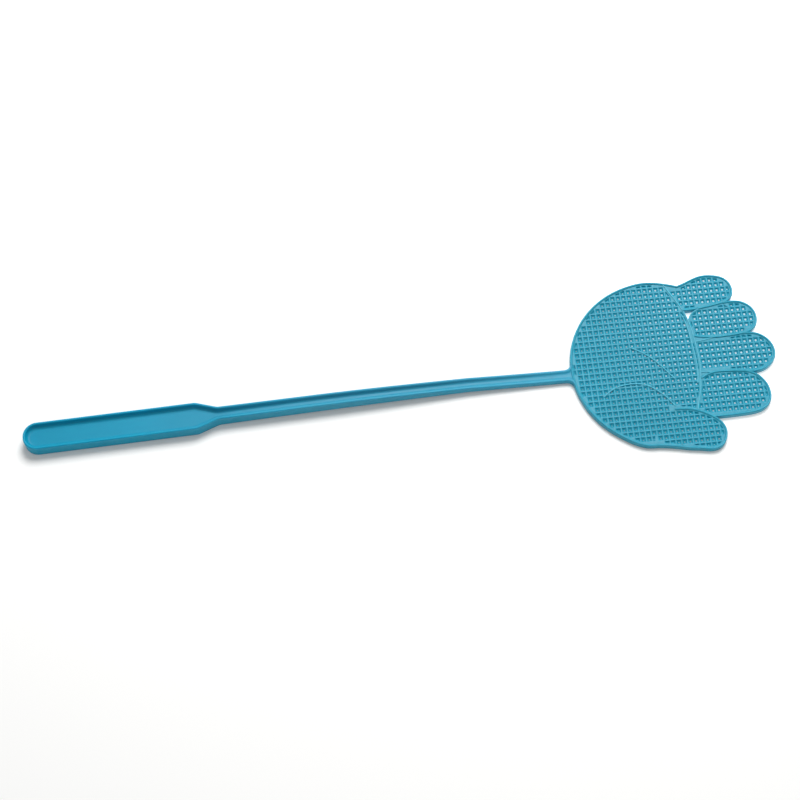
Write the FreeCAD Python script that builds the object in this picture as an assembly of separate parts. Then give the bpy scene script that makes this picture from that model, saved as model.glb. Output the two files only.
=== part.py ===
import FreeCAD, Part
import math
import os

# Fly swatter with a hand-shaped blade, moulded in one shot of plastic.
# The moulding is split into its named regions, bonded face to face, and the slender shaft
# is parted at one knuckle that stands for its springy bend.
# Design frame: X from the handle's end towards the fingertips, Y towards the little finger,
# Z up from the surface it lies on. export() moves it to the centre of the bounding box.
Vec = FreeCAD.Vector

# Overall size
LENGTH = 495.3
WIDTH = 127.0
LITTLE_FINGER_TOP = 59.8
ORIGIN = Vec(LENGTH / 2, LITTLE_FINGER_TOP - WIDTH / 2, 0)

# Handle and shaft: a channel, open on top
HANDLE_WIDTH = 19.2
HANDLE_END_RADIUS = 9.3
HANDLE_LENGTH = 112.0
SHOULDER_LENGTH = 14.0
SHOULDER_RADIUS = 8.0
SHAFT_WIDTH = 9.3
NECK_WIDTH = 8.4
SHAFT_END = 345.0
BEND_START = 290.0
NECK_OFFSET = -1.8
WALL = 1.9
HANDLE_HEIGHT = 9.6
SHAFT_TOP = [(190, 9.6), (230, 9.0), (270, 7.4), (300, 6.0), (335, 4.7), (350, 4.3)]
FLOOR_TOP = [(95, 6.2), (126, 6.5), (150, 6.8), (200, 7.0), (240, 6.4), (270, 5.4), (300, 4.4),
             (335, 3.6), (350, 3.4)]
ARCH_RISE = 1.4
SHAFT_START = HANDLE_LENGTH + SHOULDER_LENGTH
ARCH_MIDDLE = (SHAFT_START + SHAFT_END) / 2

# Flex knuckle: the hinge that stands for the shaft's elastic bend
FLEX_X = 225.0
FLEX_Z = 5.2
KNUCKLE_RADIUS = 4.6
KNUCKLE_GAP = 0.3

# Blade
RIM_HEIGHT = 4.3
RIM_WIDTH = 1.9
PALM_CENTRE = (420.0, -1.8)
PALM_RADIUS = 61.5
NECK_FILLET = 4.5
NECK_END = PALM_CENTRE[0] - PALM_RADIUS
NECK_STEP = 1.0
OVERLAP = 4.0
GRILLE_BOTTOM = 1.0
GRILLE_TOP = 3.3
CREASE_WIDTH = 1.2
CREASE_TOP = 4.0
PALM_LINE_WIDTH = 1.1

# Grille lattice
PITCH_X = 3.742
PITCH_Y = 4.01
LATTICE_TURN = math.radians(-2.0)
LATTICE_ORIGIN = (425.9, -5.1)
RIB = 1.0
HOLE_SHARE = 0.48
EDGE_MARGIN = 0.5
SMALLEST_CELL = 1.6
OUTLINE_STEP = 1.0
SAME_CORNER = 0.05

# Centre lines of the blade's rims and ribs, each half a rim inside the outline
PALM_ARC_DEGREES = range(100, 251, 15)
LITTLE_PATH = [(440.2, 53.1), (445.8, 54.9), (450.5, 56.7), (455.5, 58.3), (461, 58.85), (467, 57.9),
               (471.7, 56), (475, 52.6), (476.5, 48), (475.9, 43.6), (473.8, 40.2), (470.6, 38.1),
               (465, 36.9), (458, 35.9), (450, 35.2), (440.7, 35.2)]
RING_PATH = [(468.5, 37.0), (474, 37.2), (479.5, 36.3), (484, 33.6), (487.1, 29.4), (488.05, 25.2),
             (487.5, 20.8), (485.3, 16.9), (481.8, 14.4), (476.5, 13), (468, 12.5), (458, 12.6),
             (451, 13.5), (444.2, 15.3)]
RING_ROOT_PATH = [(442.9, 26.2), (444.6, 30), (447.6, 32.9), (453, 35)]
MIDDLE_PATH = [(476, 12.7), (482.5, 12.1), (487.4, 10.2), (491.2, 6.7), (493.6, 2.3), (494.35, -2.2),
               (493.3, -6.8), (490.6, -10.6), (486.4, -13.6), (481.5, -15.1), (477, -15.3),
               (470, -14.3), (460, -13.1), (450, -13.1), (442.1, -16.0)]
MIDDLE_ROOT_PATH = [(443.9, 10.8), (449, 11.2), (456, 12.2)]
INDEX_ROOT_PATH = [(442.9, -11.7), (447, -12), (452, -12.7)]
INDEX_PATH = [(472, -14.8), (477.5, -17.4), (481.7, -21.8), (484, -26.8), (484.55, -31), (484, -35.6),
              (481.9, -39.5), (478.2, -42.4), (473, -43.9), (465, -44.4), (455, -44.4), (444.2, -44.1)]
THUMB_PATH = [(403.2, -59.0), (409.6, -60), (417.5, -61.7), (425.9, -63.8), (433, -65.1),
              (440, -66.25), (445.4, -64.6), (448.8, -60.4), (450.2, -55.4), (449.3, -50.6),
              (446.3, -46.3), (441.5, -42.4), (436, -39.1), (429.5, -36.8), (420.6, -35.9)]
CREASE_PATH = [(431.9, 55.7), (436.5, 45.5), (440.2, 36.8), (442.6, 28), (443.6, 20), (444, 10),
               (444, 0), (443.3, -9), (441.6, -18), (439.3, -27), (436.8, -33.5),
               (435.4, -38.6)]
PALM_EDGE_PATH = [(439.3, 32), (440.9, 25), (441.5, 16), (441.8, 6), (441.7, -4), (440.9, -12),
                  (439.4, -19)]
HEAD_LINE_PATH = [(399.5, 13), (405, 9.6), (411, 4.8), (417, -2), (421.5, -8.6), (425, -14)]
LIFE_LINE_PATH = [(376.5, -21), (381, -17.6), (387, -14.9), (394, -14), (401, -14.5), (408, -17.5),
                  (414, -22.9), (418.5, -28.6), (421.4, -33.6)]

# A point inside each stretch of grille. Palm and thumb share one, parted along a lattice rib.
GRILLE_SEEDS = {
    "palm_grille": (400.0, -5.0),
    "little_finger_grille": (458.0, 47.0),
    "ring_finger_grille": (466.0, 25.0),
    "middle_finger_grille": (466.0, -1.0),
    "index_finger_grille": (462.0, -30.0),
}
WEB_SEEDS = {"ring_root_web": (446.3, 12.7), "index_root_web": (444.3, -13.4)}
THUMB_SEED = (435.0, -52.0)
THUMB_SPLIT_COLUMN = -1
THUMB_SPLIT_HEAD = -35.9


def box(x0, x1, z0=0.0, z1=HANDLE_HEIGHT):
    """A block across the whole width between two stations of the length."""
    return Part.makeBox(x1 - x0, 2 * WIDTH, z1 - z0, Vec(x0, -WIDTH, z0))


def polygon_face(points, z=0.0):
    corners = [Vec(x, y, z) for x, y in points]
    return Part.Face(Part.makePolygon(corners + corners[:1]))


def prism(points, z0, z1):
    return polygon_face(points, z0).extrude(Vec(0, 0, z1 - z0))


def upright_edges(solid, stations):
    """The vertical edges of a prism that stand at the given (x, y) corners."""
    found = []
    for edge in solid.Edges:
        low, high = edge.Vertexes[0].Point, edge.Vertexes[-1].Point
        upright = abs(low.x - high.x) < 1e-6 and abs(low.y - high.y) < 1e-6
        if upright and any(math.hypot(low.x - x, low.y - y) < 1e-3 for x, y in stations):
            found.append(edge)
    return found


def channel_plan(inset):
    """The handle's and shaft's outline as a tall prism, inset from the outer faces."""
    handle = HANDLE_WIDTH / 2 - inset
    shaft = SHAFT_WIDTH / 2 - inset
    neck = NECK_WIDTH / 2 - inset
    tail = NECK_OFFSET * (NECK_END - BEND_START) / (SHAFT_END - BEND_START)
    end = NECK_END + OVERLAP
    half = [(inset, handle), (HANDLE_LENGTH, handle), (SHAFT_START, shaft), (BEND_START, neck)]
    left = half + [(end, tail + neck)]
    right = [(x, -y) for x, y in half] + [(end, tail - neck)]
    solid = prism(left + right[::-1], 0, 2 * HANDLE_HEIGHT)
    ends = [half[0], (half[0][0], -half[0][1])]
    solid = solid.makeFillet(HANDLE_END_RADIUS - inset, upright_edges(solid, ends))
    bends = [(x, side * y) for x, y in half[1:3] for side in (1, -1)]
    return solid.makeFillet(SHOULDER_RADIUS, upright_edges(solid, bends))


def underside():
    """The side line of the underside, with the shaft's shallow arch between handle and neck."""
    start, middle, end = Vec(SHAFT_START, 0, 0), Vec(ARCH_MIDDLE, 0, ARCH_RISE), Vec(SHAFT_END, 0, 0)
    return [Part.LineSegment(Vec(-OVERLAP, 0, 0), start).toShape(),
            Part.Arc(start, middle, end).toShape(),
            Part.LineSegment(end, Vec(NECK_END + OVERLAP, 0, 0)).toShape()]


def side_line(stations, lift=0.0):
    """A side line through (x, z) stations, level beyond both of its ends."""
    points = [Vec(x, 0, z + lift) for x, z in stations]
    middle = Part.BSplineCurve()
    middle.interpolate(points, InitialTangent=Vec(1, 0, 0), FinalTangent=Vec(1, 0, 0))
    first, last = Vec(-OVERLAP, 0, points[0].z), Vec(NECK_END + OVERLAP, 0, points[-1].z)
    return [Part.LineSegment(first, points[0]).toShape(), middle.toShape(),
            Part.LineSegment(points[-1], last).toShape()]


def side_slab(lower, upper):
    """The space between two side lines, across the whole width."""
    ends = [Part.LineSegment(lower[i].Vertexes[i].Point, upper[i].Vertexes[i].Point).toShape()
            for i in (0, -1)]
    wire = Part.Wire(Part.__sortEdges__(lower + upper + ends))
    slab = Part.Face(wire).extrude(Vec(0, WIDTH, 0))
    slab.translate(Vec(0, -WIDTH / 2, 0))
    return slab


def flex_zones():
    """The rear zone with a hollow knuckle end and the front zone with a round one."""
    def cylinder(radius):
        return Part.makeCylinder(radius, WIDTH, Vec(FLEX_X, -WIDTH / 2, FLEX_Z), Vec(0, 1, 0))
    rear = box(SHAFT_START, FLEX_X).cut(cylinder(KNUCKLE_RADIUS + KNUCKLE_GAP))
    front = box(FLEX_X, SHAFT_END).fuse(cylinder(KNUCKLE_RADIUS))
    return rear, front


def wall_side(walls, side):
    """One of the channel's two walls: side 1 is the little finger's side, -1 the thumb's."""
    return next(s for s in walls.Solids if s.CenterOfMass.y * side > 0)


def make_channel():
    outer, inner = channel_plan(0), channel_plan(WALL)
    floor = outer.common(side_slab(underside(), side_line(FLOOR_TOP)))
    walls = outer.cut(inner).common(side_slab(side_line(FLOOR_TOP), side_line(SHAFT_TOP)))
    rear, front = flex_zones()
    shoulder = box(HANDLE_LENGTH, SHAFT_START)
    nodes = {
        "handle_floor": floor.common(box(0, HANDLE_LENGTH)),
        "handle_rim": walls.common(box(0, HANDLE_LENGTH)),
        "shoulder_floor": floor.common(shoulder),
        "shaft_floor_rear": floor.common(rear),
        "shaft_floor_front": floor.common(front),
    }
    for name, side in (("left", 1), ("right", -1)):
        nodes[f"shoulder_{name}_wall"] = wall_side(walls.common(shoulder), side)
        nodes[f"shaft_{name}_wall_rear"] = wall_side(walls.common(rear), side)
        nodes[f"shaft_{name}_wall_front"] = wall_side(walls.common(front), side)
    return nodes


def make_neck():
    """The shaft's last stretch, spread by two fillets onto the palm's rim."""
    disc = Part.makeCylinder(PALM_RADIUS, RIM_HEIGHT, Vec(*PALM_CENTRE, 0))
    stub = channel_plan(0).common(box(SHAFT_END, NECK_END + OVERLAP, 0, RIM_HEIGHT))
    joined = stub.fuse(disc).removeSplitter()
    corners = [edge for edge in joined.Edges
               if all(SHAFT_END + 1 < v.X < NECK_END + OVERLAP for v in edge.Vertexes)
               and abs(edge.Vertexes[0].Z - edge.Vertexes[-1].Z) > RIM_HEIGHT / 2]
    neck = joined.makeFillet(NECK_FILLET, corners).cut(disc)
    above = side_slab(side_line(FLOOR_TOP), side_line(FLOOR_TOP, RIM_HEIGHT))
    recess = channel_plan(WALL).common(above).common(box(0, NECK_END - NECK_STEP, 0, 2 * HANDLE_HEIGHT))
    return neck.cut(recess)


def spline(path):
    curve = Part.BSplineCurve()
    curve.interpolate([Vec(x, y, 0) for x, y in path])
    return curve


def along(path, spacing=2.0):
    """Points spread evenly along the smooth curve through a path, with its normals."""
    curve = spline(path)
    count = max(4, int(curve.length() / spacing))
    first, last = curve.FirstParameter, curve.LastParameter
    steps = [first + (last - first) * i / count for i in range(count + 1)]
    found = []
    for step in steps:
        point, tangent = curve.value(step), curve.tangent(step)[0]
        found.append((point, Vec(-tangent.y, tangent.x, 0)))
    return found


def band(path, width, z0, z1):
    """An upright wall of constant width that follows a smooth path."""
    stations = along(path)
    sides = []
    for side in (width / 2, -width / 2):
        sides.append(spline([(p.x + side * n.x, p.y + side * n.y) for p, n in stations]).toShape())
    ends = [Part.LineSegment(sides[0].Vertexes[i].Point, sides[1].Vertexes[i].Point).toShape()
            for i in (0, -1)]
    face = Part.Face(Part.Wire([sides[0], ends[1], sides[1], ends[0]]))
    face.translate(Vec(0, 0, z0))
    return face.extrude(Vec(0, 0, z1 - z0))


def palm_path():
    """The palm rim's centre line, from the little finger's root round to the thumb's ball."""
    radius = PALM_RADIUS - RIM_WIDTH / 2
    arc = [(PALM_CENTRE[0] + radius * math.cos(math.radians(a)),
            PALM_CENTRE[1] + radius * math.sin(math.radians(a))) for a in PALM_ARC_DEGREES]
    return [(441.2, 53.0), (433.2, 55.9), (425.3, 57.9), (417, 58.7)] + arc + [(404.6, -59.3)]


def biggest(shape):
    return max(shape.Solids, key=lambda solid: solid.Volume)


def make_rims():
    """The blade's outline and the full-depth ribs between the fingers, cut where they meet."""
    rims = {
        "palm_rim": palm_path(),
        "little_finger_rim": LITTLE_PATH,
        "ring_finger_rim": RING_PATH,
        "middle_finger_rim": MIDDLE_PATH,
        "index_finger_rim": INDEX_PATH,
        "thumb_rim": THUMB_PATH,
    }
    nodes = {}
    for name, path in rims.items():
        solid = band(path, RIM_WIDTH, 0, RIM_HEIGHT)
        for other in nodes.values():
            solid = solid.cut(other)
        nodes[name] = biggest(solid)
    ribs = {
        "finger_crease_rib": CREASE_PATH,
        "ring_finger_root_rib": RING_ROOT_PATH,
        "middle_finger_root_rib": MIDDLE_ROOT_PATH,
        "index_finger_root_rib": INDEX_ROOT_PATH,
    }
    for name, path in ribs.items():
        solid = band(path, CREASE_WIDTH, GRILLE_BOTTOM, CREASE_TOP)
        for other in nodes.values():
            solid = solid.cut(other)
        nodes[name] = biggest(solid)
    return nodes


def make_palm_lines(rims):
    """The raised lines that lie on top of the palm's grille."""
    lines = {
        "palm_edge_rib": PALM_EDGE_PATH,
        "head_line_rib": HEAD_LINE_PATH,
        "life_line_rib": LIFE_LINE_PATH,
    }
    nodes = {}
    for name, path in lines.items():
        solid = band(path, PALM_LINE_WIDTH, GRILLE_TOP, CREASE_TOP)
        for other in rims.values():
            solid = solid.cut(other)
        nodes[name] = biggest(solid)
    return nodes


def lattice_point(u, v):
    """A point of the turned grille lattice, from its two distances to the lattice's origin."""
    cos, sin = math.cos(LATTICE_TURN), math.sin(LATTICE_TURN)
    return LATTICE_ORIGIN[0] + u * cos - v * sin, LATTICE_ORIGIN[1] + u * sin + v * cos


def part_at(shape, seed):
    """The solid of a shape that holds a point of the grille's mid-plane."""
    point = Vec(*seed, (GRILLE_BOTTOM + GRILLE_TOP) / 2)
    return next(solid for solid in shape.Solids if solid.isInside(point, 1e-6, False))


def make_plates(rims):
    """The blade's sheet without its rims: a plate for each grille, and the plain webs."""
    sheet = box(NECK_END, LENGTH, GRILLE_BOTTOM, GRILLE_TOP)
    sheet = sheet.cut(list(rims.values()))
    webs = {name: part_at(sheet, seed) for name, seed in WEB_SEEDS.items()}
    plates = {name: part_at(sheet, seed) for name, seed in GRILLE_SEEDS.items()}
    column = THUMB_SPLIT_COLUMN * PITCH_X
    head = THUMB_SPLIT_HEAD - LATTICE_ORIGIN[1]
    corners = [(column, -WIDTH), (WIDTH, -WIDTH), (WIDTH, head), (column, head)]
    below = prism([lattice_point(u, v) for u, v in corners], GRILLE_BOTTOM, GRILLE_TOP)
    thumb = part_at(plates["palm_grille"].common(below), THUMB_SEED)
    plates["palm_grille"] = part_at(plates["palm_grille"].cut(thumb), GRILLE_SEEDS["palm_grille"])
    plates["thumb_grille"] = thumb
    return plates, webs


def clip(polygon, point, normal):
    """The part of a polygon on the inner side of the line through point."""
    kept = []
    for i, a in enumerate(polygon):
        b = polygon[(i + 1) % len(polygon)]
        da = (a[0] - point[0]) * normal[0] + (a[1] - point[1]) * normal[1]
        db = (b[0] - point[0]) * normal[0] + (b[1] - point[1]) * normal[1]
        if da >= 0:
            kept.append(a)
        if da * db < 0:
            share = da / (da - db)
            kept.append((a[0] + share * (b[0] - a[0]), a[1] + share * (b[1] - a[1])))
    return kept


def area_and_centre(polygon):
    twice, cx, cy = 0.0, 0.0, 0.0
    for i, a in enumerate(polygon):
        b = polygon[(i + 1) % len(polygon)]
        cross = a[0] * b[1] - b[0] * a[1]
        twice += cross
        cx += cross * (a[0] + b[0])
        cy += cross * (a[1] + b[1])
    if abs(twice) < 1e-9:
        return 0.0, polygon[0]
    return abs(twice) / 2, (cx / 3 / twice, cy / 3 / twice)


def inside(outline, x, y):
    odd = False
    for i, a in enumerate(outline):
        b = outline[(i + 1) % len(outline)]
        if (a[1] > y) != (b[1] > y) and x < a[0] + (y - a[1]) * (b[0] - a[0]) / (b[1] - a[1]):
            odd = not odd
    return odd


def near_edges(outline, x, y, reach):
    """The outline's edges that pass within reach of a point, with their inward normals."""
    found = []
    for i, a in enumerate(outline):
        b = outline[(i + 1) % len(outline)]
        dx, dy = b[0] - a[0], b[1] - a[1]
        size = math.hypot(dx, dy)
        if size < 1e-6:
            continue
        share = max(0, min(1, ((x - a[0]) * dx + (y - a[1]) * dy) / size ** 2))
        if math.hypot(a[0] + share * dx - x, a[1] + share * dy - y) < reach:
            found.append((a, (-dy / size, dx / size)))
    return found


def lattice_cell(column, row):
    """The corners of one opening of the lattice, and its centre."""
    u, v = (column + 0.5) * PITCH_X, (row + 0.5) * PITCH_Y
    across, up = (PITCH_X - RIB) / 2, (PITCH_Y - RIB) / 2
    corners = [lattice_point(u + a * across, v + b * up)
               for a, b in ((-1, -1), (1, -1), (1, 1), (-1, 1))]
    return corners, lattice_point(u, v)


def lattice_cells(outline):
    """The grille's openings inside an outline, as convex polygons, trimmed at its edge."""
    steps = int(2 * PALM_RADIUS / PITCH_X)
    cells = []
    for column in range(-steps, steps):
        for row in range(-steps, steps):
            cell, (x, y) = lattice_cell(column, row)
            if not inside(outline, x, y):
                continue
            for point, normal in near_edges(outline, x, y, PITCH_Y):
                moved = (point[0] + normal[0] * EDGE_MARGIN, point[1] + normal[1] * EDGE_MARGIN)
                cell = clip(cell, moved, normal)
                if len(cell) < 3:
                    break
            if len(cell) >= 3 and area_and_centre(cell)[0] > SMALLEST_CELL:
                cells.append(cell)
    return cells


def tidy_polygon(polygon):
    """The polygon without corners that nearly coincide."""
    kept = []
    for p in polygon:
        if all(math.hypot(p[0] - q[0], p[1] - q[1]) > SAME_CORNER for q in kept):
            kept.append(p)
    return kept


def ring(points, z):
    corners = [Vec(x, y, z) for x, y in points]
    return Part.makePolygon(corners + corners[:1])


def pierced(plate, cells):
    """The plate with a pocket at every cell that narrows to a small hole underneath."""
    low = next(f for f in plate.Faces if f.BoundBox.ZMax < GRILLE_BOTTOM + 1e-6)
    high = next(f for f in plate.Faces if f.BoundBox.ZMin > GRILLE_TOP - 1e-6)
    sides = [f for f in plate.Faces if f.BoundBox.ZLength > 1e-3]
    mouths, holes, slopes = [], [], []
    for cell in cells:
        centre = area_and_centre(cell)[1]
        small = [(centre[0] + HOLE_SHARE * (x - centre[0]), centre[1] + HOLE_SHARE * (y - centre[1]))
                 for x, y in cell]
        mouths.append(ring(cell, GRILLE_TOP))
        holes.append(ring(small, GRILLE_BOTTOM))
        for i in range(len(cell)):
            k = (i + 1) % len(cell)
            slope = [Vec(*cell[i], GRILLE_TOP), Vec(*cell[k], GRILLE_TOP),
                     Vec(*small[k], GRILLE_BOTTOM), Vec(*small[i], GRILLE_BOTTOM)]
            slopes.append(Part.Face(Part.makePolygon(slope + slope[:1])))
    plane_face = [Part.Face([face.OuterWire] + wires, "Part::FaceMakerBullseye")
                  for face, wires in ((low, holes), (high, mouths))]
    shell = Part.makeCompound(sides + plane_face + slopes)
    shell.sewShape()
    solid = Part.makeSolid(shell.Shells[0])
    if solid.Volume < 0:
        solid.reverse()
    return solid


def counter_clockwise(outline):
    twice = sum(a[0] * b[1] - b[0] * a[1] for a, b in zip(outline, outline[1:] + outline[:1]))
    return outline if twice > 0 else outline[::-1]


def make_grille(plate):
    low = next(f for f in plate.Faces if f.BoundBox.ZMax < GRILLE_BOTTOM + 1e-6)
    edge = [(p.x, p.y) for p in low.OuterWire.discretize(Distance=OUTLINE_STEP)][:-1]
    cells = [tidy_polygon(cell) for cell in lattice_cells(counter_clockwise(edge))]
    return pierced(plate, [cell for cell in cells if len(cell) >= 3])


def export(nodes):
    os.makedirs("parts", exist_ok=True)
    for name, shape in nodes.items():
        placed = shape.copy()
        placed.translate(ORIGIN * -1)
        placed.exportStep(f"parts/{name}.step")


def main():
    nodes = make_channel()
    nodes["neck"] = make_neck()
    rims = make_rims()
    nodes.update(rims)
    nodes.update(make_palm_lines(rims))
    plates, webs = make_plates(rims)
    nodes.update(webs)
    for name, plate in plates.items():
        nodes[name] = make_grille(plate)
    export(nodes)
    for name, shape in nodes.items():
        print(f"{name:26s} solids {len(shape.Solids)} valid {shape.isValid()} "
              f"volume {shape.Volume:9.1f}")


main()
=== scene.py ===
import math

import bmesh
import bpy
import numpy as np
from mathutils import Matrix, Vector
from mathutils.geometry import delaunay_2d_cdt


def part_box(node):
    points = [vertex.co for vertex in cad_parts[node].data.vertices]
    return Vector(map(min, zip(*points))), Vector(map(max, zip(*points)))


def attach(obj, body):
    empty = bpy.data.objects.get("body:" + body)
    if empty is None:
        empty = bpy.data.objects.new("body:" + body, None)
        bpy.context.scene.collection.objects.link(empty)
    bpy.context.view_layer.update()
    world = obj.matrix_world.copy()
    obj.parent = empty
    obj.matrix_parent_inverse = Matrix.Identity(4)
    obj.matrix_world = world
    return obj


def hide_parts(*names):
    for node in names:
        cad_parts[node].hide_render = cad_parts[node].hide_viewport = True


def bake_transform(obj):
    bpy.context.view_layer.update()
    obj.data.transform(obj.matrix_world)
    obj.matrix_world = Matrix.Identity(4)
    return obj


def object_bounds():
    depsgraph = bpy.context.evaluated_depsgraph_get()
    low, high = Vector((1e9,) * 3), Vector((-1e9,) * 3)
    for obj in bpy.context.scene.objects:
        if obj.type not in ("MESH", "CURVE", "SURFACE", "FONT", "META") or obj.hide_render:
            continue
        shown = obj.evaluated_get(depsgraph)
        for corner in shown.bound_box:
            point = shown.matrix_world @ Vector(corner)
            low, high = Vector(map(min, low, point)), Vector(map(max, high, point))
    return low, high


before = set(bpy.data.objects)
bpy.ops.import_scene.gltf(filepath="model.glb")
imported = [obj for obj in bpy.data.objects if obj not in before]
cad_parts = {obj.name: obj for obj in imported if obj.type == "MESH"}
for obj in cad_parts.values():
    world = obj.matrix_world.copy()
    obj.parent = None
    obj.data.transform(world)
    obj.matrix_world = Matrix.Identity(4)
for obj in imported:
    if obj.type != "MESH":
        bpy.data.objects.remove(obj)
cad_low, cad_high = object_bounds()

# The design frame is in millimetres: X from the handle's end, Y = 0 on the shaft's axis, Z up
# from the surface the swatter lies on. place() turns it into the row frame, in metres.
MM = 0.001
LITTLE_FINGER_TOP = 59.8

# Channel: handle, shoulder, shaft and neck
HANDLE_HALF = 9.6
HANDLE_END_RADIUS = 9.3
HANDLE_LENGTH = 112.0
SHAFT_START = 126.0
SHOULDER_RADIUS = 8.0
SHAFT_HALF = 4.65
NECK_HALF = 4.2
BEND_START = 290.0
SHAFT_END = 345.0
NECK_OFFSET = -1.8
NECK_FILLET = 4.5
SHAFT_TOP = [(190, 9.6), (230, 9.0), (270, 7.4), (300, 6.0), (335, 4.7), (350, 4.3)]
ARCH_RISE = 1.4
FLOOR_TOP = [(95, 6.2), (126, 6.5), (150, 6.8), (200, 7.0), (240, 6.4), (270, 5.4), (300, 4.4),
             (335, 3.6), (350, 3.4)]
NECK_END = 358.5

# Blade
RIM_WIDTH = 1.9
RIM_TOP = 4.1
PALM_CENTRE = (420.0, -1.8)
PALM_RADIUS = 61.5
DEEP_RIB_WIDTH = 1.0
DEEP_RIB_BOTTOM = 1.1
DEEP_RIB_TOP = 3.8
PALM_LINE_WIDTH = 1.0
PALM_LINE_BOTTOM = 2.3
PALM_LINE_TOP = 3.75

# The palm's and the thumb's sheets meet on the centre of a rib of the grille's lattice
PITCH_X = 3.742
LATTICE_TURN = math.radians(-2.0)
LATTICE_ORIGIN = (425.9, -5.1)
THUMB_SPLIT_HEAD = -35.9
SEAM_WIDTH = 0.02

# Centre lines of the blade's rims and ribs
PALM_ARC_DEGREES = range(100, 251, 15)
LITTLE_PATH = [(440.2, 53.1), (445.8, 54.9), (450.5, 56.7), (455.5, 58.3), (461, 58.85), (467, 57.9),
               (471.7, 56), (475, 52.6), (476.5, 48), (475.9, 43.6), (473.8, 40.2), (470.6, 38.1),
               (465, 36.9), (458, 35.9), (450, 35.2), (440.7, 35.2)]
RING_PATH = [(468.5, 37.0), (474, 37.2), (479.5, 36.3), (484, 33.6), (487.1, 29.4), (488.05, 25.2),
             (487.5, 20.8), (485.3, 16.9), (481.8, 14.4), (476.5, 13), (468, 12.5), (458, 12.6),
             (451, 13.5), (444.2, 15.3)]
RING_ROOT_PATH = [(442.9, 26.2), (444.6, 30), (447.6, 32.9), (453, 35)]
MIDDLE_PATH = [(476, 12.7), (482.5, 12.1), (487.4, 10.2), (491.2, 6.7), (493.6, 2.3), (494.35, -2.2),
               (493.3, -6.8), (490.6, -10.6), (486.4, -13.6), (481.5, -15.1), (477, -15.3),
               (470, -14.3), (460, -13.1), (450, -13.1), (442.1, -16.0)]
MIDDLE_ROOT_PATH = [(443.9, 10.8), (449, 11.2), (456, 12.2)]
INDEX_ROOT_PATH = [(442.9, -11.7), (447, -12), (452, -12.7)]
INDEX_PATH = [(472, -14.8), (477.5, -17.4), (481.7, -21.8), (484, -26.8), (484.55, -31), (484, -35.6),
              (481.9, -39.5), (478.2, -42.4), (473, -43.9), (465, -44.4), (455, -44.4), (444.2, -44.1)]
THUMB_PATH = [(403.2, -59.0), (409.6, -60), (417.5, -61.7), (425.9, -63.8), (433, -65.1),
              (440, -66.25), (445.4, -64.6), (448.8, -60.4), (450.2, -55.4), (449.3, -50.6),
              (446.3, -46.3), (441.5, -42.4), (436, -39.1), (429.5, -36.8), (420.6, -35.9)]
CREASE_PATH = [(431.9, 55.7), (436.5, 45.5), (440.2, 36.8), (442.6, 28), (443.6, 20), (444, 10),
               (444, 0), (443.3, -9), (441.6, -18), (439.3, -27), (436.8, -33.5),
               (435.4, -38.6)]
PALM_EDGE_PATH = [(439.3, 32), (440.9, 25), (441.5, 16), (441.8, 6), (441.7, -4), (440.9, -12),
                  (439.4, -19)]
HEAD_LINE_PATH = [(399.5, 13), (405, 9.6), (411, 4.8), (417, -2), (421.5, -8.6), (425, -14)]
LIFE_LINE_PATH = [(376.5, -21), (381, -17.6), (387, -14.9), (394, -14), (401, -14.5), (408, -17.5),
                  (414, -22.9), (418.5, -28.6), (421.4, -33.6)]

# The three pieces of the channel meet here, clear of the shoulder's rounded corners
SEAMS = (128.0, 345.0)

# Camera, in the design frame
CAMERA_PLACE = (189.88, -451.26, 950.2)
CAMERA_TURN = (25.424, 0.393, -7.788)
CAMERA_LENS = 72.27


def place(x, y, z):
    """A point of the design frame in the row frame."""
    return Vector((cad_low.x + x * MM, cad_high.y + (y - LITTLE_FINGER_TOP) * MM, z * MM))


SAME_PLACE = 1e-6
SHARP_ANGLE = 40.0


def make_object(name, vertices, faces, sharp_angle=SHARP_ANGLE):
    """A smooth-shaded mesh object from points in the design frame."""
    mesh = bpy.data.meshes.new(name)
    mesh.from_pydata([place(*v) for v in vertices], [], faces)
    solid = bmesh.new()
    solid.from_mesh(mesh)
    bmesh.ops.remove_doubles(solid, verts=solid.verts, dist=SAME_PLACE)
    bmesh.ops.recalc_face_normals(solid, faces=solid.faces)
    solid.to_mesh(mesh)
    solid.free()
    mesh.shade_smooth()
    mesh.set_sharp_from_angle(angle=math.radians(sharp_angle))
    piece = bpy.data.objects.new(name, mesh)
    bpy.context.scene.collection.objects.link(piece)
    return piece


def bridged(one, two, faces):
    """Quads between two loops of vertex indices of the same length."""
    for i in range(len(one)):
        k = (i + 1) % len(one)
        faces.append((one[i], one[k], two[k], two[i]))


# ---------------------------------------------------------------- smooth paths

FINE_STEPS = 8


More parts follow.
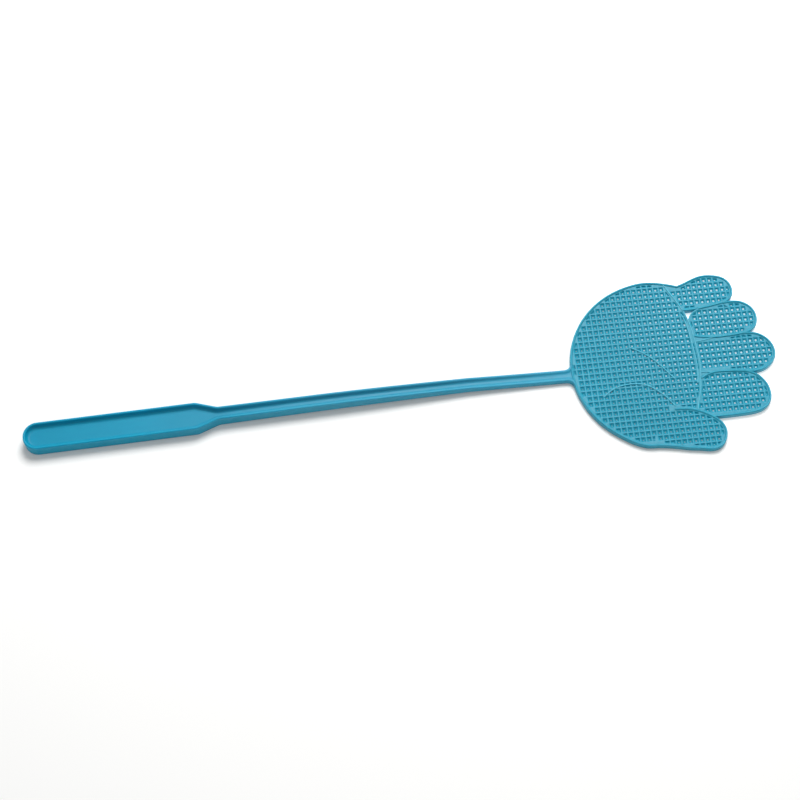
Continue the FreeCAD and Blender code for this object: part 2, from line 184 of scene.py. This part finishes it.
def spline(points, spacing):
    """Evenly spaced points on the natural cubic curve through a path, with left normals."""
    p = np.array(points, float)
    t = np.concatenate([[0], np.cumsum(np.hypot(*np.diff(p, axis=0).T))])
    h = np.diff(t)
    n = len(p)
    system, target = np.eye(n), np.zeros((n, 2))
    for i in range(1, n - 1):
        system[i, i - 1:i + 2] = h[i - 1], 2 * (h[i - 1] + h[i]), h[i]
        target[i] = 6 * ((p[i + 1] - p[i]) / h[i] - (p[i] - p[i - 1]) / h[i - 1])
    bend = np.linalg.solve(system, target)
    fine = np.linspace(0, t[-1], int(t[-1] / spacing * FINE_STEPS) + 2)
    i = np.clip(np.searchsorted(t, fine, side="right") - 1, 0, n - 2)
    a, b = ((t[i + 1] - fine) / h[i])[:, None], ((fine - t[i]) / h[i])[:, None]
    curve = a * p[i] + b * p[i + 1]
    curve += ((a ** 3 - a) * bend[i] + (b ** 3 - b) * bend[i + 1]) * (h[i] ** 2)[:, None] / 6
    run = np.concatenate([[0], np.cumsum(np.hypot(*np.diff(curve, axis=0).T))])
    even = np.linspace(0, run[-1], max(4, int(run[-1] / spacing)) + 1)
    line = np.stack([np.interp(even, run, curve[:, k]) for k in (0, 1)], axis=1)
    return line, left_normals(line)


def left_normals(line):
    along = np.gradient(np.array(line, float), axis=0)
    along /= np.linalg.norm(along, axis=1)[:, None]
    return np.stack([-along[:, 1], along[:, 0]], axis=1)


def height_curve(stations):
    """The height at any x on the smooth line through (x, z) stations, level beyond its ends."""
    xs, zs = zip(*stations)
    slopes = np.gradient(zs, xs)
    slopes[0] = slopes[-1] = 0

    def height(x):
        if x <= xs[0]:
            return zs[0]
        if x >= xs[-1]:
            return zs[-1]
        i = int(np.searchsorted(xs, x, side="right")) - 1
        h = xs[i + 1] - xs[i]
        s = (x - xs[i]) / h
        return ((2 * s ** 3 - 3 * s ** 2 + 1) * zs[i] + (s ** 3 - 2 * s ** 2 + s) * h * slopes[i]
                + (3 * s ** 2 - 2 * s ** 3) * zs[i + 1] + (s ** 3 - s ** 2) * h * slopes[i + 1])
    return height


# ---------------------------------------------------------------- channel: handle, shaft, neck

top_at = height_curve(SHAFT_TOP)
floor_at = height_curve(FLOOR_TOP)


def underside_at(x):
    """The shaft's shallow arch over the surface it lies on."""
    middle, half = (SHAFT_START + SHAFT_END) / 2, (SHAFT_END - SHAFT_START) / 2
    return max(0.0, ARCH_RISE * (1 - ((x - middle) / half) ** 2))


def centre_line(x):
    return NECK_OFFSET * max(0.0, x - BEND_START) / (SHAFT_END - BEND_START)


def rounded_corner(before, corner, after, radius, step=math.radians(7)):
    """Points of the arc that rounds a corner of an outline."""
    back = (before - corner) / np.linalg.norm(before - corner)
    ahead = (after - corner) / np.linalg.norm(after - corner)
    half = math.acos(np.clip(back @ ahead, -1, 1)) / 2
    middle = (back + ahead) / np.linalg.norm(back + ahead)
    centre = corner + middle * radius / math.sin(half)
    turn = math.pi - 2 * half
    count = max(2, math.ceil(turn / step))
    arc = []
    for k in range(count + 1):
        angle = turn * (k / count - 0.5)
        side = (ahead - back) / np.linalg.norm(ahead - back)
        arc.append(centre + radius * (side * math.sin(angle) - middle * math.cos(angle)))
    return arc


def neck_arc(side):
    """The fillet from the shaft's side onto the palm's outline."""
    centre_y = centre_line(NECK_END - 3) + side * (NECK_HALF + NECK_FILLET)
    rise = centre_y - PALM_CENTRE[1]
    run = math.sqrt((PALM_RADIUS + NECK_FILLET) ** 2 - rise ** 2)
    centre = np.array([PALM_CENTRE[0] - run, centre_y])
    last = math.atan2(-rise, run)
    angles = np.linspace(-side * math.pi / 2, last, 12)
    return [centre + NECK_FILLET * np.array([math.cos(a), math.sin(a)]) for a in angles]


def outline_knots(side):
    """One side of the channel seen from above, from the handle's tip to the palm's rim."""
    corners = [(0, 0), (0, HANDLE_HALF), (HANDLE_LENGTH, HANDLE_HALF), (SHAFT_START, SHAFT_HALF),
               (BEND_START, NECK_HALF)]
    corners = [np.array([x, y * side], float) for x, y in corners]
    arc = neck_arc(side)
    radii = [HANDLE_END_RADIUS, SHOULDER_RADIUS, SHOULDER_RADIUS]
    knots = [corners[0]]
    for i, radius in enumerate(radii):
        knots += rounded_corner(corners[i], corners[i + 1], corners[i + 2], radius)
    for x in (SEAMS[0], 200.0, BEND_START, 300.0, 320.0, SEAMS[1]):
        half = np.interp(x, [SHAFT_START, BEND_START], [SHAFT_HALF, NECK_HALF])
        knots.append(np.array([x, centre_line(x) + side * half]))
    return knots + arc


def outlines(spacing=2.5):
    """Both sides of the channel, with a station of one side for each of the other."""
    left, right = outline_knots(1), outline_knots(-1)
    sides = [[left[0]], [right[0]]]
    for k in range(len(left) - 1):
        parts = max(1, round(float(np.linalg.norm(left[k + 1] - left[k])) / spacing))
        for side, knots in zip(sides, (left, right)):
            side += [knots[k] + (knots[k + 1] - knots[k]) * j / parts for j in range(1, parts + 1)]
    return np.array(sides[0]), np.array(sides[1])


# The channel's section from the underside over the rim to the floor: inset from the outline,
# what the height is measured from, and the height over it
UNDER, OUTER, INNER, BED = range(4)
SECTION = [(0.9, UNDER, 0.0), (0.45, UNDER, 0.05), (0.15, UNDER, 0.22), (0.02, UNDER, 0.6),
           (0.06, UNDER, 1.6), (0.12, OUTER, -0.75), (0.2, OUTER, -0.42), (0.38, OUTER, -0.18),
           (0.62, OUTER, -0.05), (0.95, OUTER, 0.0), (1.28, INNER, -0.05), (1.52, INNER, -0.18),
           (1.72, INNER, -0.45), (1.82, INNER, -0.8), (2.02, BED, 1.9), (2.2, BED, 1.25),
           (2.5, BED, 0.72), (2.9, BED, 0.32), (3.35, BED, 0.08), (3.8, BED, 0.0)]
# Where the channel is shallower than this, the wall's rounded edges shrink with its depth
WALL_DETAIL = 2.8
# The fillet onto the floor begins at this inset and widens towards the handle's end
FILLET_START = 1.82
FILLET_STRETCH = 0.3
CROSS_COLUMNS = 6


def section_point(point, normal, row):
    """A point of the channel's surface, kept off the palm's grille where the neck flares."""
    inset, base, lift = row
    if base == BED:
        inset += (inset - FILLET_START) * FILLET_STRETCH * max(0.0, 1 - point[0] / SHAFT_START)
    spoke = point + normal * inset - PALM_CENTRE
    reach = PALM_RADIUS - RIM_WIDTH / 2
    x, y = PALM_CENTRE + spoke * max(1.0, reach / np.linalg.norm(spoke))
    low, bed, top = underside_at(x), floor_at(x), top_at(x)
    squeeze = min(1.0, (top - bed) / WALL_DETAIL)
    height = (low + lift, top + lift, top + lift * squeeze, bed + lift * squeeze)[base]
    return x, y, height


def channel_ring(left, right, left_normal, right_normal, vertices):
    """Adds the channel's whole section at one station, and gives its indices in order."""
    columns = []
    for side, normal in ((left, left_normal), (right, right_normal)):
        start = len(vertices)
        vertices += [section_point(side, normal, row) for row in SECTION]
        columns.append(list(range(start, len(vertices))))
    crosses = []
    for row in (0, -1):
        a, b = columns[0][row], columns[1][row]
        start = len(vertices)
        first, last = np.array(vertices[a]), np.array(vertices[b])
        vertices += [tuple(first + (last - first) * c / CROSS_COLUMNS)
                     for c in range(1, CROSS_COLUMNS)]
        crosses.append([a] + list(range(start, len(vertices))) + [b])
    return crosses[0][::-1][:-1] + columns[0] + crosses[1][1:-1] + columns[1][::-1][:-1]


def channel_piece(name, x0, x1):
    """A stretch of the channel between two stations, as one closed mesh."""
    left, right = outlines()
    left_inward, right_inward = -left_normals(left), left_normals(right)
    kept = [i for i in range(len(left)) if x0 - SAME_PLACE <= left[i][0] <= x1 + SAME_PLACE]
    if x1 > NECK_END:
        kept = range(kept[0], len(left))
    vertices, faces = [], []
    grid = [channel_ring(left[i], right[i], left_inward[i], right_inward[i], vertices)
            for i in kept]
    for one, two in zip(grid, grid[1:]):
        bridged(one, two, faces)
    faces.append(tuple(grid[-1]))
    if x0 > 0:
        faces.append(tuple(grid[0]))
    return make_object(name, vertices, faces)


# ---------------------------------------------------------------- rims and ribs

def swept(name, path, section, spacing=0.8):
    """A closed bar with the given cross-section along a smooth path on the blade."""
    line, normals = spline(path, spacing)
    size = len(section)
    vertices = [(*(p + n * u), z) for p, n in zip(line, normals) for u, z in section]
    faces = []
    for k in range(len(line) - 1):
        for j in range(size):
            i = (j + 1) % size
            faces.append((k * size + j, k * size + i, (k + 1) * size + i, (k + 1) * size + j))
    faces.append(tuple(range(size))[::-1])
    faces.append(tuple((len(line) - 1) * size + j for j in range(size)))
    return make_object(name, vertices, faces)


# Each side of a bar stays this far inside its width, so that no rim leaves the CAD box
HAIR = 0.015
# A bar's rounded side from its foot, as (inset, height), and up to its crown, as (inset, drop)
FOOT = ((0.2, 0.0), (0.03, 0.12), (0.0, 0.35))
CROWN = ((0.05, 1.2), (0.13, 0.7), (0.26, 0.34), (0.42, 0.13), (0.7, 0.02))
FOOT_ROOM = 0.4
# A rim's crown slopes this much wider on its grille's side
INNER_SLOPE = 1.6


def rim_section(width, bottom, top, inside):
    """A bar's cross-section, as (across, up), with a crowned top. The blade's outer rims slope
    down towards their grille, which is on their left where inside is 1 and right where -1."""
    half = width / 2 - HAIR
    ease = half / (RIM_WIDTH / 2)
    sides = []
    for side in (-1, 1):
        slope = INNER_SLOPE if side == inside else 1.0
        line = [(half - inset * ease, bottom + height) for inset, height in FOOT]
        line += [(half - inset * ease * slope, top - drop * ease) for inset, drop in CROWN
                 if drop * ease < top - bottom - FOOT_ROOM]
        sides.append([(side * u, z) for u, z in line])
    return sides[1] + sides[0][::-1]


def palm_path():
    radius = PALM_RADIUS - RIM_WIDTH / 2
    arc = [(PALM_CENTRE[0] + radius * math.cos(math.radians(a)),
            PALM_CENTRE[1] + radius * math.sin(math.radians(a))) for a in PALM_ARC_DEGREES]
    return [(441.2, 53.0), (433.2, 55.9), (425.3, 57.9), (417, 58.7)] + arc + [(404.6, -59.3)]


RIMS = {
    "palm_rim": palm_path(),
    "little_finger_rim": LITTLE_PATH,
    "ring_finger_rim": RING_PATH,
    "middle_finger_rim": MIDDLE_PATH,
    "index_finger_rim": INDEX_PATH,
    "thumb_rim": THUMB_PATH,
}
ANTICLOCKWISE_RIMS = ("palm_rim", "thumb_rim")
DEEP_RIBS = {
    "finger_crease_rib": CREASE_PATH,
    "ring_finger_root_rib": RING_ROOT_PATH,
    "middle_finger_root_rib": MIDDLE_ROOT_PATH,
    "index_finger_root_rib": INDEX_ROOT_PATH,
}
PALM_LINES = {
    "palm_edge_rib": PALM_EDGE_PATH,
    "head_line_rib": HEAD_LINE_PATH,
    "life_line_rib": LIFE_LINE_PATH,
}
# Bars that cross differ a hair in height, so that no two faces lie in one plane
STAGGER = 0.015


def make_bars():
    pieces = []
    kinds = ((RIMS, RIM_WIDTH, 0.0, RIM_TOP, "blade_rim"),
             (DEEP_RIBS, DEEP_RIB_WIDTH, DEEP_RIB_BOTTOM, DEEP_RIB_TOP, "blade_rib"),
             (PALM_LINES, PALM_LINE_WIDTH, PALM_LINE_BOTTOM, PALM_LINE_TOP, "blade_rib"))
    for paths, width, bottom, top, slot in kinds:
        for k, (node, path) in enumerate(paths.items()):
            inside = 0 if slot == "blade_rib" else 1 if node in ANTICLOCKWISE_RIMS else -1
            section = rim_section(width, bottom, top - k * STAGGER, inside)
            piece = swept(node + "_bar", path, section)
            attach(piece, "head")
            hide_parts(node)
            pieces.append((piece, slot))
    return pieces


# ---------------------------------------------------------------- grilles

# A pocket's wall from its eased mouth down the bowl: margin beyond its CAD mouth, and depth.
# Under the bowl's small hole the wall opens out again to the sheet's underside.
BOWL = [(0.2, 0.0), (0.1, 0.06), (0.0, 0.18), (-0.12, 0.4), (-0.36, 0.8)]
LIP_DEPTHS = (0.95, 1.15)
UNDER_MARGIN = -0.15
# The hole's margin at the palm's heel and at the fingertips, and how it changes between them
HOLE_MARGIN_NEAR, HOLE_MARGIN_FAR = -1.1, -0.83
HOLES_GROW_FROM, HOLES_GROW_OVER, HOLES_GROW_TILT = 335.0, 110.0, 0.5
RIM_BITE = 0.35
FLAT = 0.002
SHEET_SHARP_ANGLE = 50.0


def flat_loops(node, z):
    """The closed boundary loops of a CAD node's flat face at height z, in millimetres."""
    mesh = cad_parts[node].data
    key = {}
    place_of = []
    number = []
    for v in mesh.vertices:
        k = tuple(round(c / MM, 3) for c in v.co)
        if k not in key:
            key[k] = len(place_of)
            place_of.append(k)
        number.append(key[k])
    used = {}
    for face in mesh.polygons:
        corners = [number[i] for i in face.vertices]
        if any(abs(place_of[i][2] - z) > FLAT for i in corners):
            continue
        for a, b in zip(corners, corners[1:] + corners[:1]):
            used[(a, b)] = used.get((a, b), 0) + 1
    follow = {a: b for a, b in used if (b, a) not in used}
    loops = []
    while follow:
        start, here = next(iter(follow.items()))
        loop = [start]
        del follow[start]
        while here != start:
            loop.append(here)
            here = follow.pop(here)
        loops.append(np.array([place_of[i][:2] for i in loop]))
    return loops


def loop_area(loop):
    x, y = loop[:, 0], loop[:, 1]
    return 0.5 * float(np.sum(x * np.roll(y, -1) - np.roll(x, -1) * y))


def loop_centre(loop):
    x, y = loop[:, 0], loop[:, 1]
    cross = x * np.roll(y, -1) - np.roll(x, -1) * y
    total = cross.sum() * 3
    return np.array([((x + np.roll(x, -1)) * cross).sum(), ((y + np.roll(y, -1)) * cross).sum()]) / total


def grown(loop, margin):
    """A convex loop with every side moved outwards by a margin, or inwards if negative."""
    centre = loop_centre(loop)
    size = math.sqrt(abs(loop_area(loop)))
    return centre + (loop - centre) * (1 + 2 * margin / size)


def bitten(loop):
    """The grille's outline pushed into the rims round it, but not over the thumb's seam."""
    ahead, behind = np.roll(loop, -1, axis=0) - loop, loop - np.roll(loop, 1, axis=0)
    tangent = ahead / np.linalg.norm(ahead, axis=1)[:, None]
    tangent += behind / np.linalg.norm(behind, axis=1)[:, None]
    tangent /= np.maximum(np.linalg.norm(tangent, axis=1), 1e-9)[:, None]
    column = np.array([math.cos(LATTICE_TURN), math.sin(LATTICE_TURN)])
    seam = np.abs((loop - LATTICE_ORIGIN) @ column + PITCH_X) < SEAM_WIDTH
    seam &= loop[:, 1] < THUMB_SPLIT_HEAD
    reach = np.where(seam, 0.0, RIM_BITE)[:, None]
    return loop + reach * np.stack([tangent[:, 1], -tangent[:, 0]], axis=1)


def capped(outer, holes, z, up, vertices, faces):
    """Adds the flat face between an outline and its holes, and gives each loop's indices."""
    loops = [outer] + holes
    flat = [Vector(p) for loop in loops for p in loop]
    rings, start = [], 0
    for loop in loops:
        rings.append(list(range(start, start + len(loop))))
        start += len(loop)
    points, _, triangles, from_vertex, _, from_face = delaunay_2d_cdt(
        flat, [], rings, 1, 1e-7)
    base = len(vertices)
    vertices += [(p.x, p.y, z) for p in points]
    number = {}
    for k, sources in enumerate(from_vertex):
        for source in sources:
            number[source] = base + k
    for triangle, sources in zip(triangles, from_face):
        if sources == [0]:
            corners = tuple(base + i for i in triangle)
            faces.append(corners if up else corners[::-1])
    return [[number[i] for i in ring] for ring in rings]


def hole_margin(centre):
    """The holes are smallest at the palm's heel and widest towards the fingertips."""
    reach = centre[0] - HOLES_GROW_TILT * (LITTLE_FINGER_TOP - centre[1]) - HOLES_GROW_FROM
    share = np.clip(reach / HOLES_GROW_OVER, 0, 1)
    return HOLE_MARGIN_NEAR + (HOLE_MARGIN_FAR - HOLE_MARGIN_NEAR) * share


def make_grille(node):
    """The node's sheet again, with every pocket's mouth eased and its outline in the rims."""
    low, high = (corner.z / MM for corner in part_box(node))
    loops = flat_loops(node, round(high, 3))
    loops.sort(key=lambda loop: -abs(loop_area(loop)))
    shift = np.array([cad_low.x / MM, cad_high.y / MM - LITTLE_FINGER_TOP])
    outer, mouths = loops[0] - shift, [loop - shift for loop in loops[1:]]
    outer = outer if loop_area(outer) > 0 else outer[::-1]
    mouths = [m if loop_area(m) > 0 else m[::-1] for m in mouths]
    outer = bitten(outer)
    vertices, faces = [], []
    holes = [grown(mouth, UNDER_MARGIN) for mouth in mouths]
    top = capped(outer, [grown(m, BOWL[0][0]) for m in mouths], high, True, vertices, faces)
    under = capped(outer, holes, low, False, vertices, faces)
    bridged(under[0], top[0], faces)
    for mouth, ring, hole in zip(mouths, top[1:], under[1:]):
        lip = hole_margin(loop_centre(mouth))
        for margin, depth in BOWL[1:] + [(lip, depth) for depth in LIP_DEPTHS]:
            start = len(vertices)
            vertices += [(x, y, high - depth) for x, y in grown(mouth, margin)]
            lower = range(start, len(vertices))
            bridged(ring, lower, faces)
            ring = lower
        bridged(ring, hole, faces)
    piece = make_object(node + "_sheet", vertices, faces, SHEET_SHARP_ANGLE)
    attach(piece, "head")
    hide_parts(node)
    return piece, "blade_grille"


# ---------------------------------------------------------------- materials

TEAL = (0.003, 0.275, 0.425)
# A paler teal towards the shaft: painted sheen for the key light's reflection
SHEEN_TEAL = (0.03, 0.29, 0.43)
BLADE_TEAL = (0.005, 0.27, 0.388)
RIM_TEAL = (0.012, 0.29, 0.41)
# The ribs' lighter teal is a painted highlight for the light that their narrow crests catch
HIGHLIT_RIB_TEAL = (0.045, 0.385, 0.525)
# The handle and the shaft turn to the paler teal between these places: a painted sheen for the key
# light's reflection, which grows towards the shaft
SHEEN_START, SHEEN_END = 60.0, 220.0
DRIFT_SCALE = 14.0
DRIFT_LEVELS = (0.95, 1.04)
ROUGHNESS_SPREAD = 0.06
BUMP_STRENGTH = 0.12
BUMP_DISTANCE = 0.0002
SUBSURFACE_RADIUS = (0.2, 1.0, 1.0)
SUBSURFACE_SCALE = 0.003


class Plastic:
    """Teal moulded plastic: faint colour drift, uneven gloss and a fine moulded grain."""

    def __init__(self, name):
        self.material = bpy.data.materials.new(name)
        self.material.use_nodes = True
        self.nodes, self.links = self.material.node_tree.nodes, self.material.node_tree.links
        self.shader = self.nodes["Principled BSDF"]
        self.where = self.nodes.new("ShaderNodeTexCoord").outputs["Object"]

    def noise(self, scale, detail):
        texture = self.nodes.new("ShaderNodeTexNoise")
        texture.inputs["Scale"].default_value = scale
        texture.inputs["Detail"].default_value = detail
        self.links.new(self.where, texture.inputs["Vector"])
        return texture.outputs["Fac"]

    def ranged(self, value, source, target):
        """The value taken from one range, source, to another, target."""
        node = self.nodes.new("ShaderNodeMapRange")
        node.inputs["From Min"].default_value, node.inputs["From Max"].default_value = source
        node.inputs["To Min"].default_value, node.inputs["To Max"].default_value = target
        self.links.new(value, node.inputs["Value"])
        return node

    def colour(self, base, far):
        # The mix from base to far along X paints the channel's sheen; the blade lies beyond its end and
        # takes far alone
        position = self.nodes.new("ShaderNodeSeparateXYZ")
        self.links.new(self.where, position.inputs["Vector"])
        ends = place(SHEEN_START, 0, 0).x, place(SHEEN_END, 0, 0).x
        along = self.ranged(position.outputs["X"], ends, (0, 1))
        along.interpolation_type = "SMOOTHSTEP"
        mix = self.nodes.new("ShaderNodeMix")
        mix.data_type = "RGBA"
        mix.inputs["A"].default_value = (*base, 1)
        mix.inputs["B"].default_value = (*far, 1)
        self.links.new(along.outputs["Result"], mix.inputs["Factor"])
        level = self.ranged(self.noise(DRIFT_SCALE, 3.0), (0.3, 0.7), DRIFT_LEVELS)
        tint = self.nodes.new("ShaderNodeVectorMath")
        tint.operation = "SCALE"
        self.links.new(mix.outputs["Result"], tint.inputs["Vector"])
        self.links.new(level.outputs["Result"], tint.inputs["Scale"])
        self.links.new(tint.outputs["Vector"], self.shader.inputs["Base Color"])

    def gloss(self, roughness, scale):
        spread = (roughness - ROUGHNESS_SPREAD, roughness + ROUGHNESS_SPREAD)
        uneven = self.ranged(self.noise(scale, 5.0), (0, 1), spread)
        self.links.new(uneven.outputs["Result"], self.shader.inputs["Roughness"])

    def grain(self, scale):
        bump = self.nodes.new("ShaderNodeBump")
        bump.inputs["Strength"].default_value = BUMP_STRENGTH
        bump.inputs["Distance"].default_value = BUMP_DISTANCE
        self.links.new(self.noise(scale, 4.0), bump.inputs["Height"])
        self.links.new(bump.outputs["Normal"], self.shader.inputs["Normal"])

    def depth(self, glow, shine):
        self.shader.inputs["Subsurface Weight"].default_value = glow
        self.shader.inputs["Subsurface Radius"].default_value = SUBSURFACE_RADIUS
        self.shader.inputs["Subsurface Scale"].default_value = SUBSURFACE_SCALE
        self.shader.inputs["Specular IOR Level"].default_value = shine


def plastic(name, base, far, roughness, grain, flow, glow, shine):
    """A plastic by its colours, roughness, scales of grain and gloss, glow and shine."""
    made = Plastic(name)
    made.colour(base, far)
    made.gloss(roughness, flow)
    made.grain(grain)
    made.depth(glow, shine)
    return made.material


def make_materials():
    return {
        # The handle and the shaft pale along their length: a painted sheen for the key light's
        # reflection
        "handle": plastic("plastic_handle", TEAL, SHEEN_TEAL, 0.44, 900.0, 60.0, 0.6, 0.2),
        "shaft": plastic("plastic_shaft", TEAL, SHEEN_TEAL, 0.44, 900.0, 60.0, 0.6, 0.2),
        "blade_rim": plastic("plastic_rim", TEAL, RIM_TEAL, 0.40, 1200.0, 90.0, 0.5, 0.35),
        "blade_grille": plastic("plastic_grille", TEAL, BLADE_TEAL, 0.44, 1200.0, 90.0, 0.4, 0.3),
        # The ribs take the lighter teal: a painted highlight on their crests
        "blade_rib": plastic("plastic_rib_highlit", HIGHLIT_RIB_TEAL, HIGHLIT_RIB_TEAL, 0.40, 1200.0, 90.0, 0.4, 0.4),
    }


# ---------------------------------------------------------------- floor, lights, camera

# The pale table glows a little where the blade lies, so that its holes show as light dots
GLOW_CENTRE = (462.0, 25.0)
GLOW_REACH = (30.0, 110.0)
GLOW_STRENGTH = 0.6
FLOOR_LIFT = 0.08
FLOOR_HALF = 4.0
FLOOR_COLOUR = (0.85, 0.85, 0.84, 1)
FLOOR_CLEARANCE = 0.00002

# Lights, in metres and watts
KEY_X = 0.25
KEY_ELEVATION = math.radians(59)
KEY_DISTANCE = 1.4
KEY_SIZE, KEY_POWER = 0.85, 23.2
FILL_PLACE = (0.1, -1.3, 0.45)
FILL_SIZE, FILL_POWER = 0.6, 1.2
WORLD_STRENGTH = 0.36


def make_floor():
    mesh = bpy.data.meshes.new("floor")
    corners = [(x * FLOOR_HALF, y * FLOOR_HALF, 0) for x, y in ((-1, -1), (1, -1), (1, 1), (-1, 1))]
    mesh.from_pydata(corners, [], [(0, 1, 2, 3)])
    floor = bpy.data.objects.new("floor", mesh)
    bpy.context.scene.collection.objects.link(floor)
    floor.location.z = cad_low.z - FLOOR_CLEARANCE
    material = bpy.data.materials.new("pale_floor")
    material.use_nodes = True
    nodes, links = material.node_tree.nodes, material.node_tree.links
    shader = nodes["Principled BSDF"]
    shader.inputs["Base Color"].default_value = FLOOR_COLOUR
    shader.inputs["Emission Color"].default_value = (1, 1, 1, 1)
    where = nodes.new("ShaderNodeTexCoord")
    away = nodes.new("ShaderNodeVectorMath")
    away.operation = "DISTANCE"
    away.inputs[1].default_value = place(*GLOW_CENTRE, 0) - floor.location
    links.new(where.outputs["Object"], away.inputs[0])
    glow = nodes.new("ShaderNodeMapRange")
    glow.interpolation_type = "SMOOTHSTEP"
    glow.inputs["From Min"].default_value = GLOW_REACH[0] * MM
    glow.inputs["From Max"].default_value = GLOW_REACH[1] * MM
    glow.inputs["To Min"].default_value = GLOW_STRENGTH
    glow.inputs["To Max"].default_value = FLOOR_LIFT
    links.new(away.outputs["Value"], glow.inputs["Value"])
    links.new(glow.outputs["Result"], shader.inputs["Emission Strength"])
    shader.inputs["Roughness"].default_value = 0.9
    shader.inputs["Specular IOR Level"].default_value = 0.2
    mesh.materials.append(material)


def make_light(name, place_m, size, power):
    """A round white light that faces the origin."""
    data = bpy.data.lights.new(name, "AREA")
    data.shape = "DISK"
    data.size = size
    data.energy = power
    light = bpy.data.objects.new(name, data)
    bpy.context.scene.collection.objects.link(light)
    light.location = place_m
    light.rotation_euler = (-Vector(place_m)).to_track_quat("-Z", "Y").to_euler()


def make_lights():
    key = (KEY_X, KEY_DISTANCE * math.cos(KEY_ELEVATION), KEY_DISTANCE * math.sin(KEY_ELEVATION))
    make_light("key", key, KEY_SIZE, KEY_POWER)
    make_light("fill", FILL_PLACE, FILL_SIZE, FILL_POWER)
    world = bpy.data.worlds.new("studio")
    bpy.context.scene.world = world
    world.use_nodes = True
    sky = world.node_tree.nodes["Background"]
    sky.inputs["Color"].default_value = (1, 1, 1, 1)
    sky.inputs["Strength"].default_value = WORLD_STRENGTH


def make_camera():
    data = bpy.data.cameras.new("camera")
    data.lens = CAMERA_LENS
    data.sensor_width = 36.0
    data.clip_start, data.clip_end = 0.01, 50.0
    camera = bpy.data.objects.new("camera", data)
    bpy.context.scene.collection.objects.link(camera)
    camera.location = place(*CAMERA_PLACE)
    camera.rotation_euler = [math.radians(a) for a in CAMERA_TURN]
    bpy.context.scene.camera = camera


# ---------------------------------------------------------------- the whole scene

# The channel's pieces: from, to, body, slot and the CAD nodes each stands for. The piece without a body
# is left unattached, with its placement baked into its mesh.
CHANNEL = {
    "handle_tray": (0.0, SEAMS[0], "grip", "handle", (
        "handle_floor", "handle_rim", "shoulder_floor", "shoulder_left_wall",
        "shoulder_right_wall")),
    "shaft_channel": (SEAMS[0], SEAMS[1], None, "shaft", (
        "shaft_floor_rear", "shaft_left_wall_rear", "shaft_right_wall_rear",
        "shaft_floor_front", "shaft_left_wall_front", "shaft_right_wall_front")),
    "neck_flare": (SEAMS[1], PALM_CENTRE[0], "head", "shaft", ("neck",)),
}


def make_channel():
    pieces = []
    for name, (x0, x1, body, slot, nodes) in CHANNEL.items():
        piece = channel_piece(name, x0, x1)
        if body:
            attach(piece, body)
        else:
            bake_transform(piece)
        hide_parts(*nodes)
        pieces.append((piece, slot))
    return pieces


make_camera()
make_floor()
make_lights()
bpy.context.scene.view_settings.view_transform = "Standard"

materials = make_materials()
grilles = [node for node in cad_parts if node.endswith(("_grille", "_web"))]
dressed = make_bars() + [make_grille(grille) for grille in grilles] + make_channel()
for piece, slot in dressed:
    piece.data.materials.append(materials[slot])
